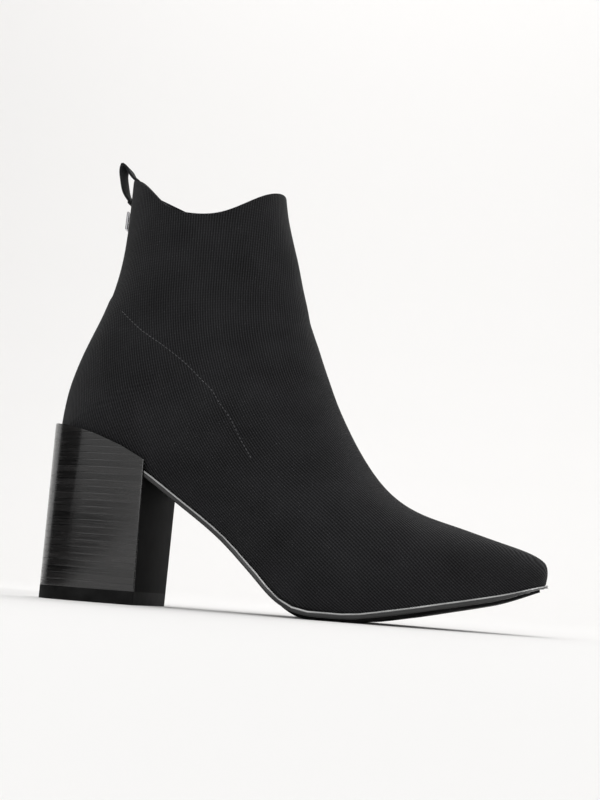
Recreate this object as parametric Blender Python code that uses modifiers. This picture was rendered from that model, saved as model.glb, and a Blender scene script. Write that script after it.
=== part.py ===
"""Left sock boot with a stacked block heel, standing on its heel and forefoot.

Metres, +Z up, toe towards +X, outer side towards +Y. The origin is the middle of the heel's underside.
"""
import math

import bmesh
import bpy
import numpy as np

# Driving dimensions of the last, in metres.
LENGTH = 0.2376          # back of the upper to the tip of its toe
BALL_WIDTH = 0.082       # upper across the ball of the foot
SEAT_WIDTH = 0.054       # lower edge of the upper across the heel seat
SEAT_HEIGHT = 0.0775     # lower edge of the upper at the back, above the floor
INSTEP_HEIGHT = 0.072    # front line of the foot above the lower edge, where it is highest
TOE_SKEW = 0.0055        # toe set over to the inner side

# Driving dimensions of the shaft.
BOOT_HEIGHT = 0.205      # back of the collar above the floor
BACK_SWEEP = 0.0256      # back of the collar in front of the back of the heel
SHAFT_DEPTH = 0.078      # collar from back to front
SHAFT_WIDTH = 0.066      # collar from side to side
COLLAR_DROP = 0.0205     # dip of the collar on the inner side
WALL = 0.0016            # knit with its lining

# Driving dimensions of the sole.
SOLE_THICKNESS = 0.0022
SOLE_EDGE = 0.0005       # sole edge outside the lower edge of the upper
TREAD_THICKNESS = 0.0009
TREAD_MARGIN = 0.0035    # polished sole left around the tread
TREAD_LENGTH = 0.124     # from the toe along the sole
TREAD_ROUND = 0.026      # length of the tread's rounded rear end
INSOLE_THICKNESS = 0.0018

# Driving dimensions of the heel.
HEEL_LENGTH = 0.0533
HEEL_FOOT_WIDTH = 0.0520
HEEL_SEAT_WIDTH = 0.0600
HEEL_LEDGE = 0.0008      # rim of the heel block behind the upper
HEEL_LEAN = 0.0005       # back of the heel forward from the floor to the seat
HEEL_RIM = 0.0050        # heel block above the lower edge of the upper
HEEL_ROUND = 0.0300      # length of the heel's rounded back
HEEL_POWER = 2.15        # squareness of that back; 2 is an ellipse
HEEL_CORNER = 0.0012     # radius of the front corners
TOP_PIECE_THICKNESS = 0.0058

# Driving dimensions of the pull loop and of the plate under it.
TAPE_WIDTH = 0.0110
TAPE_THICKNESS = 0.0012
LOOP_REACH = 0.0070      # loop behind the back of the collar
LOOP_RISE = 0.0098       # loop above the back of the collar
LOOP_LEG = 0.0105        # ends of the loop below the edge
LOOP_SEWN = 0.0013       # straight end of the outer leg
PLATE_HEIGHT = 0.0090
PLATE_WIDTH = 0.0120
PLATE_THICKNESS = 0.0012
PLATE_DROP = 0.0150      # top of the plate below the back of the collar

FIT_GAP = 0.0003         # clearance between pieces that rest on one another
CUP_GAP = 0.0004         # clearance of the heel's cup round the upper
INSOLE_GAP = 0.0009      # clearance of the footbed inside the wall
SOLE_BEVEL = 0.0004
PLATE_BEVEL = 0.0003
SHARP_ANGLE = 40         # degrees; steeper edges stay sharp or get the bevel

# Grid of the upper: rows from the toe to the heel seat, round the heel and up the shaft.
FOOT_ROWS = 24
HEEL_ROWS = 7
SHAFT_ROWS = 16
SIDE_COLUMNS = 16

# Steps of the other pieces.
SOLE_STATIONS = 44
SOLE_COLUMNS = 4
HEEL_LEVELS = 4
HEEL_TURN_STEPS = 15
CORNER_STEPS = 4
LOOP_STEPS = 34
PLATE_ROWS = 4
PLATE_COLUMNS = 7

# How finely curves are read off before they are stepped.
SECTION_POINTS = 161
SHAFT_READINGS = 80
BACK_READINGS = 80
EDGE_READINGS = 241
OUTLINE_READINGS = 400
LENGTH_READINGS = 2000
NORMAL_REACH = 0.004     # length to either side over which the sole's direction is read

# A section of the foot lies in a plane that holds the Y direction, from the lower edge to the front line.
# low and high: shares of LENGTH; deep: share of SHAFT_DEPTH added to high; seat: share of the seat's rise;
# rise: share of INSTEP_HEIGHT; skew: share of TOE_SKEW; edge and full: shares of half the width named last,
# at the lower edge and where the section is widest; widest: share of the section's height; powers: shape
# below and above the widest place; round: 1 keeps the lower edge sharp, more closes it to a curve.
FOOT_SECTIONS = (
    # low, high, deep, seat, rise, skew, edge_in, edge_out, full_in, full_out,
    # widest, low_power, round, high_power, width
    (0.987, 0.991, 0.000, 0.252, 0.012, 1.00, 0.085, 0.085, 0.085, 0.085, 0.50, 2.0, 1.0, 2.00, "ball"),
    (0.976, 1.002, 0.000, 0.242, 0.093, 1.00, 0.155, 0.155, 0.170, 0.170, 0.46, 2.0, 1.0, 2.00, "ball"),
    (0.954, 0.9945, 0.000, 0.219, 0.180, 1.00, 0.255, 0.255, 0.275, 0.275, 0.44, 2.0, 1.0, 2.10, "ball"),
    (0.9165, 0.9595, 0.000, 0.184, 0.269, 1.00, 0.375, 0.375, 0.400, 0.400, 0.43, 2.0, 1.0, 2.20, "ball"),
    (0.866, 0.902, 0.000, 0.145, 0.361, 0.93, 0.515, 0.525, 0.545, 0.555, 0.42, 2.0, 1.0, 2.20, "ball"),
    (0.803, 0.8285, 0.000, 0.100, 0.479, 0.75, 0.675, 0.690, 0.710, 0.725, 0.38, 2.0, 1.0, 2.20, "ball"),
    (0.7195, 0.747, 0.000, 0.043, 0.614, 0.50, 0.825, 0.855, 0.875, 0.895, 0.36, 2.0, 1.0, 2.15, "ball"),
    (0.6315, 0.690, 0.000, 0.000, 0.765, 0.25, 0.905, 0.960, 0.966, 1.000, 0.35, 2.0, 1.0, 2.05, "ball"),
    (0.5645, 0.650, 0.000, 0.000, 0.900, 0.10, 0.900, 0.990, 0.970, 1.025, 0.35, 2.0, 1.0, 1.95, "ball"),
    (0.514, 0.617, 0.000, 0.049, 1.004, 0.00, 0.800, 0.945, 0.900, 1.000, 0.36, 2.0, 1.0, 1.90, "ball"),
    (0.451, 0.537, 0.158, 0.219, 0.989, 0.00, 0.650, 0.850, 0.790, 0.950, 0.38, 2.0, 1.0, 1.90, "ball"),
    (0.376, 0.437, 0.393, 0.428, 0.920, 0.00, 0.540, 0.760, 0.710, 0.880, 0.40, 2.0, 1.0, 2.00, "ball"),
    (0.283, 0.327, 0.676, 0.636, 0.839, 0.00, 0.555, 0.715, 0.695, 0.815, 0.40, 2.0, 1.0, 2.20, "ball"),
    (0.191, 0.218, 0.963, 0.830, 0.758, 0.00, 1.007, 1.045, 1.10, 1.20, 0.33, 2.4, 1.0, 2.35, "seat"),
    (0.107, 0.129, 1.204, 0.934, 0.742, 0.00, 0.985, 0.985, 1.11, 1.17, 0.28, 2.2, 1.0, 2.45, "seat"),
    (0.049, 0.068, 1.362, 0.977, 0.774, 0.00, 0.760, 0.760, 1.09, 1.12, 0.34, 3.7, 1.0, 2.45, "seat"),
    (0.015, 0.028, 1.462, 0.995, 0.818, 0.00, 0.445, 0.445, 1.07, 1.10, 0.39, 2.8, 1.4, 2.45, "seat"),
    (0.000, 0.000, 1.533, 1.000, 0.861, 0.00, 0.000, 0.000, 1.07, 1.09, 0.39, 2.6, 1.8, 2.40, "seat"),
)

# A section of the shaft is a closed ring. back: share of BACK_SWEEP; depth: share of SHAFT_DEPTH;
# low and high: heights of back and front above the seat, as shares of the shaft's rise; full: share of
# SHAFT_WIDTH; widest: share of the depth; powers: shape behind and in front of the widest place.
SHAFT_SECTIONS = (
    # back, depth, low, high, full, widest, low_power, high_power
    (0.045, 1.494, 0.144, 0.545, 0.874, 0.41, 1.80, 2.27),
    (0.178, 1.421, 0.239, 0.600, 0.863, 0.46, 1.93, 2.20),
    (0.365, 1.334, 0.337, 0.655, 0.866, 0.48, 2.02, 2.13),
    (0.578, 1.239, 0.426, 0.710, 0.873, 0.48, 2.10, 2.10),
    (0.777, 1.142, 0.537, 0.769, 0.892, 0.48, 2.05, 2.05),
    (0.906, 1.069, 0.655, 0.827, 0.915, 0.49, 2.00, 2.05),
    (0.966, 1.024, 0.773, 0.878, 0.945, 0.50, 2.00, 2.05),
    (0.987, 1.000, 0.890, 0.926, 0.975, 0.50, 2.00, 2.00),
    (1.000, 0.983, 1.000, 0.969, 1.000, 0.50, 2.00, 2.00),
)

# Dip of the collar. girth: share of the half girth from back to front; the drops: shares of COLLAR_DROP.
COLLAR_EDGE = (
    # girth, inner_drop, outer_drop
    (0.000, 0.00, 0.00),
    (0.150, 0.08, 0.05),
    (0.240, 0.25, 0.12),
    (0.310, 0.52, 0.21),
    (0.370, 0.82, 0.31),
    (0.430, 0.96, 0.39),
    (0.530, 1.00, 0.47),
    (0.625, 0.90, 0.46),
    (0.710, 0.64, 0.38),
    (0.810, 0.29, 0.22),
    (0.920, 0.06, 0.06),
    (1.000, 0.00, 0.00),
)

# Route of the loop's tape from the outside of the collar's back over its edge to the inside.
# behind: share of LOOP_REACH behind the outer face; above: share of LOOP_RISE above the edge.
LOOP_ROUTE = (
    # behind, above
    (0.34, -0.78),
    (0.66, -0.40),
    (0.86, 0.12),
    (1.00, 0.68),
    (0.92, 1.00),
    (0.66, 0.88),
    (0.32, 0.53),
)

# Fold of the tape over the collar's edge. across: share of the way from the middle of the wall to the inner
# leg; above: height of the tape's middle above the edge, in half thicknesses with their clearance.
LOOP_FOLD = (
    # across, above
    (0.00, 2.2),
    (0.84, 1.3),
)

# Sizes worked out from the driving dimensions.
BACK_X = -HEEL_LENGTH / 2 + HEEL_LEAN + HEEL_LEDGE
SOLE_STACK = TREAD_THICKNESS + FIT_GAP + SOLE_THICKNESS + FIT_GAP
SEAT_RISE = SEAT_HEIGHT - SOLE_STACK
SHAFT_RISE = BOOT_HEIGHT - SEAT_HEIGHT
WIDTHS = {"ball": BALL_WIDTH / 2, "seat": SEAT_WIDTH / 2, "shaft": SHAFT_WIDTH / 2}
OUTER_SIDE = 1
INNER_SIDE = -1

for leftover in list(bpy.data.objects):
    bpy.data.objects.remove(leftover)

boot = bpy.data.collections.new("sock_boot")
cutters = bpy.data.collections.new("cutters")
for collection in (boot, cutters):
    bpy.context.scene.collection.children.link(collection)


def principled(name, colour, roughness, metallic=0.0):
    """A plain Principled material; colour is linear."""
    material = bpy.data.materials.new(name)
    material.use_nodes = True
    shader = material.node_tree.nodes["Principled BSDF"]
    shader.inputs["Base Color"].default_value = (*colour, 1.0)
    shader.inputs["Roughness"].default_value = roughness
    shader.inputs["Metallic"].default_value = metallic
    material.diffuse_color = (*colour, 1.0)
    return material


def add_object(name, mesh_data, material, collection=boot):
    """Finish a bmesh and link it as an object; cutters show as wires."""
    mesh = bpy.data.meshes.new(name)
    mesh_data.to_mesh(mesh)
    mesh_data.free()
    item = bpy.data.objects.new(name, mesh)
    collection.objects.link(item)
    if material:
        mesh.materials.append(material)
        mesh.shade_smooth()
        mesh.set_sharp_from_angle(angle=math.radians(SHARP_ANGLE))
    if collection is cutters:
        item.hide_render = True
        item.display_type = "WIRE"
    return item


def slopes_at(places, values):
    """Slopes at the knots of a smooth curve that never overshoots them."""
    steps = np.diff(places)[:, None]
    rates = np.diff(values, axis=0) / steps
    slopes = np.zeros_like(values)
    slopes[0] = rates[0]
    slopes[-1] = rates[-1]
    same_way = rates[:-1] * rates[1:] > 0
    before = 2 * steps[1:] + steps[:-1]
    after = steps[1:] + 2 * steps[:-1]
    left = np.where(same_way, rates[:-1], 1.0)
    right = np.where(same_way, rates[1:], 1.0)
    slopes[1:-1] = np.where(same_way, (before + after) / (before / left + after / right), 0.0)
    return slopes


def smooth_between(places, values, wanted):
    """Read a table of values at the wanted places, along a smooth curve."""
    slopes = slopes_at(places, values)
    wanted = np.clip(np.atleast_1d(wanted), places[0], places[-1])
    index = np.clip(np.searchsorted(places, wanted, side="right") - 1, 0, len(places) - 2)
    step = (places[index + 1] - places[index])[:, None]
    share = ((wanted - places[index]) / step[:, 0])[:, None]
    before, after = values[index], values[index + 1]
    leaving, arriving = step * slopes[index], step * slopes[index + 1]
    return ((1 + 2 * share) * (1 - share) ** 2 * before + share * (1 - share) ** 2 * leaving
            + share ** 2 * (3 - 2 * share) * after + share ** 2 * (share - 1) * arriving)


# Columns of a worked-out section, all lengths in metres.
(LOW_X, LOW_Z, HIGH_X, HIGH_Z, MIDDLE, EDGE_IN, EDGE_OUT,
 FULL_IN, FULL_OUT, WIDEST, LOW_POWER, ROUND, HIGH_POWER) = range(13)


def foot_section(low, high, deep, seat, rise, skew, edge_in, edge_out, full_in, full_out,
                 widest, low_power, roundness, high_power, width):
    """One row of FOOT_SECTIONS in metres."""
    half = WIDTHS[width]
    low_z = SOLE_STACK + seat * SEAT_RISE
    high_x = BACK_X + high * LENGTH + deep * SHAFT_DEPTH
    return (BACK_X + low * LENGTH, low_z, high_x, low_z + rise * INSTEP_HEIGHT,
            -skew * TOE_SKEW, edge_in * half, edge_out * half, full_in * half, full_out * half,
            widest, low_power, roundness, high_power)


def shaft_section(back, depth, low, high, full, widest, low_power, high_power):
    """One row of SHAFT_SECTIONS in metres."""
    back_x = BACK_X + back * BACK_SWEEP
    half = full * WIDTHS["shaft"]
    back_z, front_z = SEAT_HEIGHT + low * SHAFT_RISE, SEAT_HEIGHT + high * SHAFT_RISE
    return (back_x, back_z, back_x + depth * SHAFT_DEPTH, front_z,
            0.0, 0.0, 0.0, half, half, widest, low_power, low_power, high_power)


foot_rows = [foot_section(*row) for row in FOOT_SECTIONS]
shaft_rows = [shaft_section(*row) for row in SHAFT_SECTIONS]
SECTIONS = np.array(foot_rows + shaft_rows)
low_steps = np.linalg.norm(np.diff(SECTIONS[:, [LOW_X, LOW_Z, EDGE_OUT]], axis=0), axis=1)
high_steps = np.hypot(np.diff(SECTIONS[:, HIGH_X]), np.diff(SECTIONS[:, HIGH_Z]))
PLACES = np.concatenate([[0.0], np.cumsum((low_steps + high_steps) / 2)])
HEEL_PLACE = PLACES[len(FOOT_SECTIONS) - 1]
SEAT_PLACE = PLACES[len(FOOT_SECTIONS) - 4]
OPEN_ROWS = FOOT_ROWS + HEEL_ROWS


def half_section(place, side, columns=SIDE_COLUMNS):
    """Points from the lower edge, or the back, round one side to the front line, evenly spaced."""
    row = smooth_between(PLACES, SECTIONS, place)[0]
    edge, full = (row[EDGE_OUT], row[FULL_OUT]) if side == OUTER_SIDE else (row[EDGE_IN], row[FULL_IN])
    share = (1 - np.cos(np.linspace(0, math.pi, SECTION_POINTS))) / 2
    below = np.clip(1 - share / row[WIDEST], 0, 1)
    above = np.clip((share - row[WIDEST]) / (1 - row[WIDEST]), 0, 1)
    low_half = edge + (full - edge) * (1 - below ** row[LOW_POWER]) ** (1 / row[ROUND])
    high_half = full * (1 - above ** row[HIGH_POWER]) ** (1 / row[HIGH_POWER])
    half = np.where(share < row[WIDEST], low_half, high_half)
    dense = np.stack([row[LOW_X] + share * (row[HIGH_X] - row[LOW_X]), row[MIDDLE] + side * half,
                      row[LOW_Z] + share * (row[HIGH_Z] - row[LOW_Z])], axis=1)
    along = np.concatenate([[0.0], np.cumsum(np.linalg.norm(np.diff(dense, axis=0), axis=1))])
    even = np.linspace(0, along[-1], columns + 1)
    return np.stack([np.interp(even, along, dense[:, axis]) for axis in range(3)], axis=1)


def full_section(place, columns=SIDE_COLUMNS):
    """Points from the inner lower edge over the front line to the outer lower edge."""
    inner = half_section(place, INNER_SIDE, columns)
    outer = half_section(place, OUTER_SIDE, columns)
    return np.concatenate([inner, outer[::-1][1:]])


def collar_ends():
    """For each column, the place along the shaft where the dipped collar edge cuts the wall."""
    table = np.array(COLLAR_EDGE)
    places = np.linspace(HEEL_PLACE, PLACES[-1], SHAFT_READINGS)
    heights = np.array([full_section(place)[:, 2] for place in places])
    ends = []
    for column in range(2 * SIDE_COLUMNS + 1):
        from_back = column if column <= SIDE_COLUMNS else 2 * SIDE_COLUMNS - column
        drops = table[:, 1] if column <= SIDE_COLUMNS else table[:, 2]
        drop = smooth_between(table[:, 0], drops[:, None], from_back / SIDE_COLUMNS)[0, 0] * COLLAR_DROP
        ends.append(np.interp(heights[-1, column] - drop, heights[:, column], places))
    return np.array(ends)


def upper_grid():
    """Outer face of the upper: rows from the toe to the heel and up to the dipped collar."""
    round_heel = np.linspace(SEAT_PLACE, HEEL_PLACE, HEEL_ROWS + 1)[1:]
    places = np.concatenate([np.linspace(0, SEAT_PLACE, FOOT_ROWS), round_heel])
    rows = [full_section(place) for place in places]
    ends = collar_ends()
    for share in np.linspace(0, 1, SHAFT_ROWS + 1)[1:]:
        row = []
        for column, end in enumerate(ends):
            row.append(full_section(HEEL_PLACE + share * (end - HEEL_PLACE))[column])
        rows.append(np.array(row))
    return rows


def sheet(rows):
    """Faces between the rows, as an open sheet with its front outwards; rows past the heel are closed."""
    mesh = bmesh.new()
    last = 2 * SIDE_COLUMNS
    corners = []
    for number, row in enumerate(rows):
        closed = number >= OPEN_ROWS - 1
        ring = [mesh.verts.new(point) for point in (row[:-1] if closed else row)]
        corners.append(ring + [ring[0]] if closed else ring)
    for lower, upper_row in zip(corners, corners[1:]):
        for column in range(last):
            quad = [lower[column], lower[column + 1], upper_row[column + 1], upper_row[column]]
            mesh.faces.new(list(dict.fromkeys(quad)))
    bmesh.ops.triangulate(mesh, faces=mesh.faces, quad_method="SHORT_EDGE")
    mesh.normal_update()
    side_face = max(mesh.faces, key=lambda face: face.calc_center_median().y)
    if side_face.normal.y < 0:
        bmesh.ops.reverse_faces(mesh, faces=mesh.faces)
    return mesh, corners


def thicken(item, thickness, offset):
    """Solidify a sheet; offset -1 keeps its face as the outside."""
    shell = item.modifiers.new("wall", "SOLIDIFY")
    shell.thickness = thickness
    shell.offset = offset
    shell.use_rim = True


def round_edges(item, width):
    """Bevel the sharp edges of a piece."""
    bevel = item.modifiers.new("soft_edges", "BEVEL")
    bevel.width = width
    bevel.segments = 1
    bevel.limit_method = "ANGLE"
    bevel.angle_limit = math.radians(SHARP_ANGLE)


# The sole's route: the lower edge of the upper seen from the side, and its outline on both sides.
edge_places = np.linspace(0, HEEL_PLACE, EDGE_READINGS)
edge_rows = smooth_between(PLACES, SECTIONS, edge_places)
route_steps = np.hypot(np.diff(edge_rows[:, LOW_X]), np.diff(edge_rows[:, LOW_Z]))
route_length = np.concatenate([[0.0], np.cumsum(route_steps)])


def route_point(length):
    """Place on the sole's route, and the upward normal there; it runs on straight past both ends."""
    inside = np.clip(length, 0, route_length[-1])
    x = np.interp(inside, route_length, edge_rows[:, LOW_X])
    z = np.interp(inside, route_length, edge_rows[:, LOW_Z])
    ends = np.clip([inside - NORMAL_REACH, inside + NORMAL_REACH], 0, route_length[-1])
    run_x = np.diff(np.interp(ends, route_length, edge_rows[:, LOW_X]), axis=0)[0]
    run_z = np.diff(np.interp(ends, route_length, edge_rows[:, LOW_Z]), axis=0)[0]
    run = np.hypot(run_x, run_z)
    run_x, run_z = run_x / run, run_z / run
    past = length - inside
    return x + past * run_x, z + past * run_z, run_z, -run_x


def sole_outline(inset):
    """Both sides of the sole's outline, moved in by the inset: distances along the route and across it."""
    toe_tip = np.hypot(SECTIONS[0, HIGH_X] - SECTIONS[0, LOW_X], SECTIONS[0, HIGH_Z] - SECTIONS[0, LOW_Z])
    sides = []
    for side, column in ((INNER_SIDE, EDGE_IN), (OUTER_SIDE, EDGE_OUT)):
        along = np.concatenate([[-toe_tip], route_length])
        edge = edge_rows[:, MIDDLE] + side * edge_rows[:, column]
        across = np.concatenate([[edge_rows[0, MIDDLE]], edge])
        run = np.concatenate([[0.0], np.cumsum(np.hypot(np.diff(along), np.diff(across)))])
        even = np.linspace(0, run[-1], OUTLINE_READINGS)
        along, across = np.interp(even, run, along), np.interp(even, run, across)
        along_step, across_step = np.gradient(along), np.gradient(across)
        size = np.hypot(along_step, across_step)
        moved_along = along + side * inset * across_step / size
        moved_across = across - side * inset * along_step / size
        order = np.argsort(moved_along)
        sides.append((moved_along[order], moved_across[order]))
    return sides


def sole_layer(inset, top, bottom, rear_end=None, rear_round=0.0):
    """A layer of the sole between two heights over its route, inside the outline moved in by the inset."""
    inner, outer = sole_outline(inset)
    trial = np.linspace(min(inner[0][0], outer[0][0]), max(inner[0][-1], outer[0][-1]), LENGTH_READINGS)
    inside = trial[np.interp(trial, *outer) > np.interp(trial, *inner)]
    front, rear = inside[0], inside[-1] if rear_end is None else rear_end
    turn = (1 - np.cos(np.linspace(0, math.pi, SOLE_STATIONS))) / 2
    shares = (turn + np.linspace(0, 1, SOLE_STATIONS)) / 2
    mesh = bmesh.new()
    tops, bottoms = [], []
    for share in shares:
        length = front + share * (rear - front)
        low_y, high_y = np.interp(length, *inner), np.interp(length, *outer)
        middle = (low_y + high_y) / 2
        if rear - length < rear_round:
            squeeze = math.sqrt(max(0.0, 1 - (1 - (rear - length) / rear_round) ** 2))
            low_y, high_y = middle + (low_y - middle) * squeeze, middle + (high_y - middle) * squeeze
        x, z, normal_x, normal_z = route_point(length)
        across = np.linspace(low_y, high_y, SOLE_COLUMNS + 1) if 0 < share < 1 else [middle]
        for ring, height in ((tops, top), (bottoms, bottom)):
            ring.append([mesh.verts.new((x + height * normal_x, y, z + height * normal_z)) for y in across])
    for ring in (tops, bottoms):
        for one, two in zip(ring, ring[1:]):
            for column in range(SOLE_COLUMNS):
                quad = [one[min(column, len(one) - 1)], one[min(column + 1, len(one) - 1)],
                        two[min(column + 1, len(two) - 1)], two[min(column, len(two) - 1)]]
                mesh.faces.new(list(dict.fromkeys(quad)))
    for end in (0, -1):
        for number in range(SOLE_STATIONS - 1):
            mesh.faces.new([tops[number][end], tops[number + 1][end],
                            bottoms[number + 1][end], bottoms[number][end]])
    bmesh.ops.recalc_face_normals(mesh, faces=mesh.faces)
    return mesh


def edge_height(x):
    """Height of the lower edge of the upper at one x."""
    return np.interp(x, edge_rows[::-1, LOW_X], edge_rows[::-1, LOW_Z])


def heel_rim(x):
    """Height of the heel block's upper rim at one x."""
    return edge_height(x) + HEEL_RIM


def heel_outline():
    """Half outline of the heel from the middle of its back to the front corner.

    Each point has its x, its share of the half width, and a length taken off the half width at the corner.
    """
    centre_x = HEEL_ROUND - HEEL_LENGTH / 2
    breast_x = HEEL_LENGTH / 2
    points = []
    for angle in np.linspace(0, math.pi / 2, HEEL_TURN_STEPS):
        reach = HEEL_ROUND * math.cos(angle) ** (2 / HEEL_POWER)
        points.append((centre_x - reach, math.sin(angle) ** (2 / HEEL_POWER), 0.0))
    points.append(((centre_x + breast_x) / 2, 1.0, 0.0))
    for angle in np.linspace(0, math.pi / 2, CORNER_STEPS):
        off_breast, off_side = 1 - math.sin(angle), 1 - math.cos(angle)
        points.append((breast_x - HEEL_CORNER * off_breast, 1.0, HEEL_CORNER * off_side))
    return points


def heel_mesh(bottom, top):
    """A length of the heel from a flat bottom to a top whose height is a function of x."""
    mesh = bmesh.new()
    rings = []
    breast_x = HEEL_LENGTH / 2
    for level in np.linspace(0, 1, HEEL_LEVELS):
        halves = {INNER_SIDE: [], OUTER_SIDE: []}
        for foot_x, share, off in heel_outline():
            height = bottom + level * (top(foot_x) - bottom)
            x = foot_x + (breast_x - foot_x) / HEEL_LENGTH * HEEL_LEAN * height / SEAT_HEIGHT
            width = HEEL_FOOT_WIDTH + (HEEL_SEAT_WIDTH - HEEL_FOOT_WIDTH) * height / SEAT_HEIGHT
            for side, points in halves.items():
                points.append((x, side * (share * width / 2 - off), height))
        inner = [mesh.verts.new(point) for point in halves[INNER_SIDE]]
        outer = [inner[0]] + [mesh.verts.new(point) for point in halves[OUTER_SIDE][1:]]
        rings.append((inner, outer))
    for ring, ring_above in zip(rings, rings[1:]):
        for now, above in zip(ring, ring_above):
            for number in range(len(now) - 1):
                mesh.faces.new([now[number], now[number + 1], above[number + 1], above[number]])
        mesh.faces.new([ring[0][-1], ring[1][-1], ring_above[1][-1], ring_above[0][-1]])
    for inner, outer in (rings[0], rings[-1]):
        for number in range(len(inner) - 1):
            quad = [inner[number], inner[number + 1], outer[number + 1], outer[number]]
            mesh.faces.new(list(dict.fromkeys(quad)))
    bmesh.ops.recalc_face_normals(mesh, faces=mesh.faces)
    return mesh


def cut(item, cutter):
    """Boolean difference with the exact solver."""
    boolean = item.modifiers.new("cut_" + cutter.name, "BOOLEAN")
    boolean.operation = "DIFFERENCE"
    boolean.object = cutter


knit = principled("black rib knit", (0.012, 0.012, 0.012), 0.85)
polished_sole = principled("polished black sole", (0.010, 0.010, 0.010), 0.25)
rubber = principled("matt black rubber", (0.014, 0.014, 0.014), 0.60)
stacked_leather = principled("black stained stacked leather", (0.013, 0.013, 0.013), 0.35)
footbed = principled("black footbed", (0.016, 0.016, 0.016), 0.70)
tape_weave = principled("black woven tape", (0.014, 0.014, 0.014), 0.80)
steel = principled("polished steel", (0.70, 0.70, 0.72), 0.20, 1.0)

# Upper: one wall, open at the collar and underneath.
upper_rows = upper_grid()
upper_sheet, upper_corners = sheet(upper_rows)
upper = add_object("upper", upper_sheet, knit)
thicken(upper, WALL, -1.0)

# Sole: the outsole from toe to heel seat, the tread under the forefoot, and the footbed inside the upper.
sole_bottom = -FIT_GAP - SOLE_THICKNESS
outsole = add_object("outsole", sole_layer(-SOLE_EDGE, -FIT_GAP, sole_bottom), polished_sole)
round_edges(outsole, SOLE_BEVEL)
tread_top = sole_bottom - FIT_GAP
tread = add_object("forefoot_tread", sole_layer(TREAD_MARGIN, tread_top, tread_top - TREAD_THICKNESS,
                                                TREAD_LENGTH, TREAD_ROUND), rubber)
insole = add_object("insole", sole_layer(WALL + INSOLE_GAP, INSOLE_THICKNESS, 0.0), footbed)

# Heel: the block takes the heel seat and the lowest part of the upper into a shallow cup.
last_sheet, last_corners = sheet(upper_rows)
for ring, next_ring in zip(last_corners[:OPEN_ROWS - 1], last_corners[1:OPEN_ROWS]):
    last_sheet.faces.new(list(dict.fromkeys([ring[0], ring[-1], next_ring[-1], next_ring[0]])))
last_sheet.faces.new(last_corners[0])
last_sheet.faces.new(last_corners[-1][:-1])
bmesh.ops.recalc_face_normals(last_sheet, faces=last_sheet.faces)
last_space = add_object("last_space", last_sheet, None, cutters)
clearance = last_space.modifiers.new("clearance", "DISPLACE")
clearance.mid_level = 0.0
clearance.strength = CUP_GAP
sole_cutter = sole_layer(-SOLE_EDGE - FIT_GAP, FIT_GAP, sole_bottom - FIT_GAP)
sole_space = add_object("sole_space", sole_cutter, None, cutters)

heel_top_piece = add_object("heel_top_piece", heel_mesh(0.0, lambda x: TOP_PIECE_THICKNESS), rubber)
heel_block = add_object("heel_block", heel_mesh(TOP_PIECE_THICKNESS + FIT_GAP, heel_rim), stacked_leather)
cut(heel_block, last_space)
cut(heel_block, sole_space)


def back_face(height, y=0.0):
    """x of the outer face at the back of the shaft, at a distance from its middle line."""
    places = np.linspace(HEEL_PLACE, PLACES[-1], SHAFT_READINGS)
    backs = smooth_between(PLACES, SECTIONS, places)[:, LOW_Z]
    side_points = half_section(np.interp(height, backs, places), OUTER_SIDE, BACK_READINGS)
    side_points = side_points[:np.argmax(side_points[:, 1]) + 1]
    return np.interp(abs(y), side_points[:, 1], side_points[:, 0])


# Pull loop: a tape sewn to the outside of the back, folded over and sewn inside. Its inner leg stands off
# the middle of the wall, which curves away at the tape's edges.
off_face = FIT_GAP + TAPE_THICKNESS / 2
edge_x = back_face(BOOT_HEIGHT)
inside_x = back_face(BOOT_HEIGHT, TAPE_WIDTH / 2) + WALL + off_face + FIT_GAP / 2
sewn = (LOOP_LEG, LOOP_LEG - LOOP_SEWN)
route = [(back_face(BOOT_HEIGHT - drop) - off_face, BOOT_HEIGHT - drop) for drop in sewn]
route += [(edge_x - behind * LOOP_REACH, BOOT_HEIGHT + above * LOOP_RISE) for behind, above in LOOP_ROUTE]
over_x = edge_x + WALL / 2
for across, above in LOOP_FOLD:
    route.append((over_x + across * (inside_x - over_x), BOOT_HEIGHT + above * off_face))
route += [(inside_x, BOOT_HEIGHT), (inside_x, BOOT_HEIGHT - LOOP_LEG)]
route = np.array(route)
along_route = np.concatenate([[0.0], np.cumsum(np.linalg.norm(np.diff(route, axis=0), axis=1))])
loop_mesh = bmesh.new()
loop_edges = []
for x, z in smooth_between(along_route, route, np.linspace(0, along_route[-1], LOOP_STEPS)):
    ends = [(x, side * TAPE_WIDTH / 2, z) for side in (INNER_SIDE, OUTER_SIDE)]
    loop_edges.append([loop_mesh.verts.new(end) for end in ends])
for one, two in zip(loop_edges, loop_edges[1:]):
    loop_mesh.faces.new([one[0], one[1], two[1], two[0]])
pull_loop = add_object("pull_loop", loop_mesh, tape_weave)
thicken(pull_loop, TAPE_THICKNESS, 0.0)

# Back plate: a small metal plate that follows the back of the shaft.
plate_sheet = bmesh.new()
plate_corners = []
for drop in np.linspace(PLATE_DROP + PLATE_HEIGHT, PLATE_DROP, PLATE_ROWS):
    height = BOOT_HEIGHT - drop
    across = np.linspace(-PLATE_WIDTH / 2, PLATE_WIDTH / 2, PLATE_COLUMNS)
    points = [(back_face(height, y) - FIT_GAP, y, height) for y in across]
    plate_corners.append([plate_sheet.verts.new(point) for point in points])
for lower, higher in zip(plate_corners, plate_corners[1:]):
    for number in range(len(lower) - 1):
        plate_sheet.faces.new([lower[number], higher[number], higher[number + 1], lower[number + 1]])
back_plate = add_object("back_plate", plate_sheet, steel)
thicken(back_plate, PLATE_THICKNESS, 1.0)
round_edges(back_plate, PLATE_BEVEL)
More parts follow.
